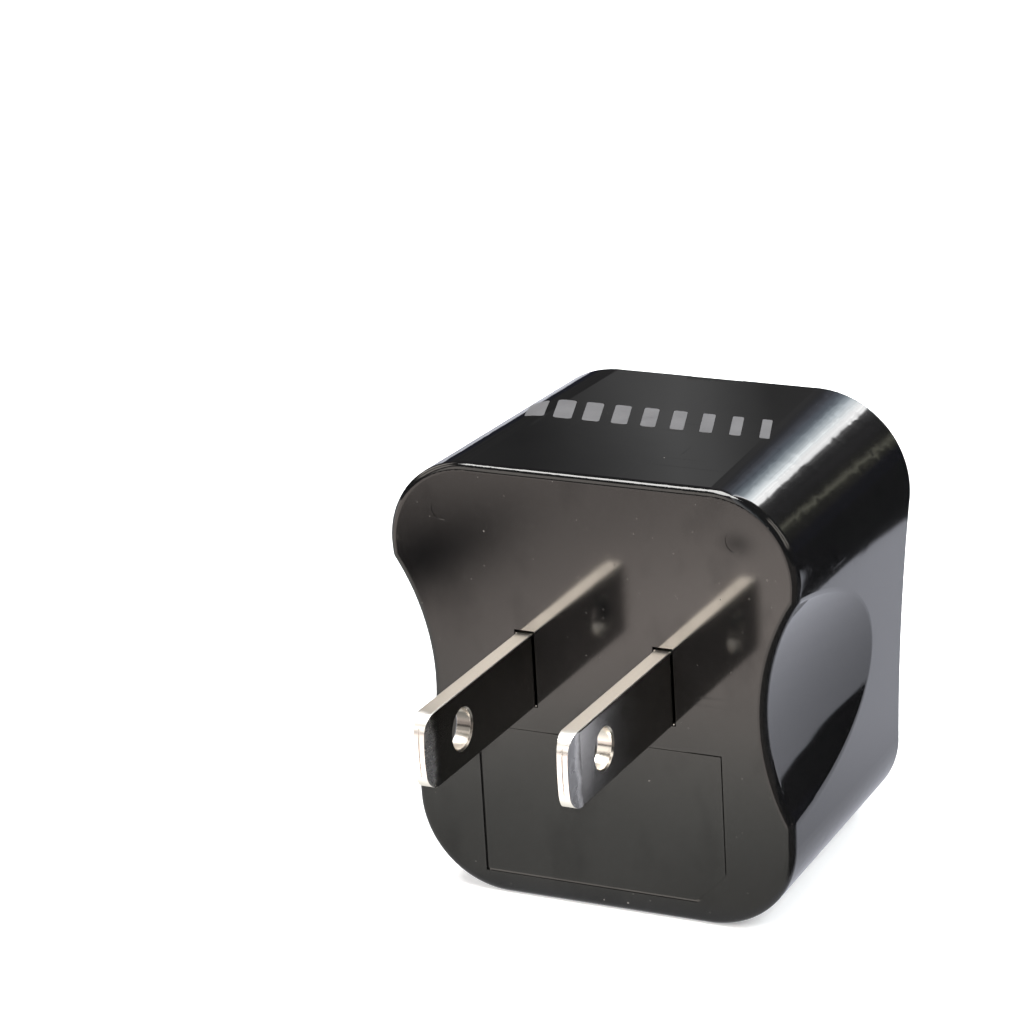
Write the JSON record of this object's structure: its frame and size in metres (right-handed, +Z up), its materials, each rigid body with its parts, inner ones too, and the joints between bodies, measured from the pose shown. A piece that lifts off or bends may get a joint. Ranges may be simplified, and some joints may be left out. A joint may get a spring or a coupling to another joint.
{
  "type": "universal travel adapter",
  "caption": "Cup-shaped plug adapter: flat parallel blades on one face, a multi-standard socket on the other, dished side walls for gripping.",
  "frame": {"origin": "midway between the two blades, on the plane of the plug face", "axes": "+Z up, +Y from the plug face through the body and out of the socket, +X to the right seen from the plug side"},
  "size_m": [0.0372, 0.0504, 0.0389],
  "materials": {
    "gloss_black": "high gloss moulded black",
    "matte_black": "fine spark-eroded texture",
    "cell_black": "plain moulded",
    "clamp_grey": "plain moulded",
    "insulation": "pressed insulating board",
    "nickel": "bright nickel plate on brass",
    "brass": "stamped sheet, bright",
    "copper": "stamped copper alloy, bright",
    "screw_steel": "zinc plated"
  },
  "bodies": {
    "adapter_body": {"housing_shell": "gloss_black", "socket_insert": "matte_black", "contact_carrier": "cell_black", "blade_clamp": "clamp_grey", "insulation_sheet": "insulation", "line_blade": "nickel", "neutral_blade": "nickel", "line_terminal": "brass", "neutral_terminal": "brass", "earth_terminal": "brass", "blade_rivets": "brass", "leaf_rivets": "brass", "clamp_screws": "screw_steel"},
    "line_leaf_upper": {"line_leaf_upper": "brass"},
    "line_leaf_lower": {"line_leaf_lower": "brass"},
    "line_leaf_side": {"line_leaf_side": "brass"},
    "neutral_leaf_upper": {"neutral_leaf_upper": "brass"},
    "neutral_leaf_lower": {"neutral_leaf_lower": "brass"},
    "neutral_leaf_side": {"neutral_leaf_side": "brass"},
    "earth_leaf_right": {"earth_leaf_right": "copper"},
    "earth_leaf_left": {"earth_leaf_left": "copper"}
  },
  "joints": [
    {"name": "line_leaf_upper_flex", "type": "hinge", "parent": "adapter_body", "child": "line_leaf_upper", "pos_m": [0.01047, 0.016, 0.01247], "axis": [1, 0, 0], "range_deg": [0, 5.5], "stiffness_Nm_per_rad": 0.003},
    {"name": "line_leaf_lower_flex", "type": "hinge", "parent": "adapter_body", "child": "line_leaf_lower", "pos_m": [0.01047, 0.016, 0.00693], "axis": [-1, 0, 0], "range_deg": [0, 5.5], "stiffness_Nm_per_rad": 0.003},
    {"name": "line_leaf_side_flex", "type": "hinge", "parent": "adapter_body", "child": "line_leaf_side", "pos_m": [0.00463, 0.016, 0.0097], "axis": [0, 0, 1], "range_deg": [0, 3], "stiffness_Nm_per_rad": 0.003},
    {"name": "neutral_leaf_upper_flex", "type": "hinge", "parent": "adapter_body", "child": "neutral_leaf_upper", "pos_m": [-0.01047, 0.016, 0.01247], "axis": [1, 0, 0], "range_deg": [0, 5.5], "stiffness_Nm_per_rad": 0.003},
    {"name": "neutral_leaf_lower_flex", "type": "hinge", "parent": "adapter_body", "child": "neutral_leaf_lower", "pos_m": [-0.01047, 0.016, 0.00693], "axis": [-1, 0, 0], "range_deg": [0, 5.5], "stiffness_Nm_per_rad": 0.003},
    {"name": "neutral_leaf_side_flex", "type": "hinge", "parent": "adapter_body", "child": "neutral_leaf_side", "pos_m": [-0.00463, 0.016, 0.0097], "axis": [0, 0, -1], "range_deg": [0, 3], "stiffness_Nm_per_rad": 0.003},
    {"name": "earth_leaf_right_flex", "type": "hinge", "parent": "adapter_body", "child": "earth_leaf_right", "pos_m": [0.00247, 0.013, -0.008], "axis": [0, 0, -1], "range_deg": [0, 5], "stiffness_Nm_per_rad": 0.003},
    {"name": "earth_leaf_left_flex", "type": "hinge", "parent": "adapter_body", "child": "earth_leaf_left", "pos_m": [-0.00247, 0.013, -0.008], "axis": [0, 0, 1], "range_deg": [0, 5], "stiffness_Nm_per_rad": 0.003}
  ]
}
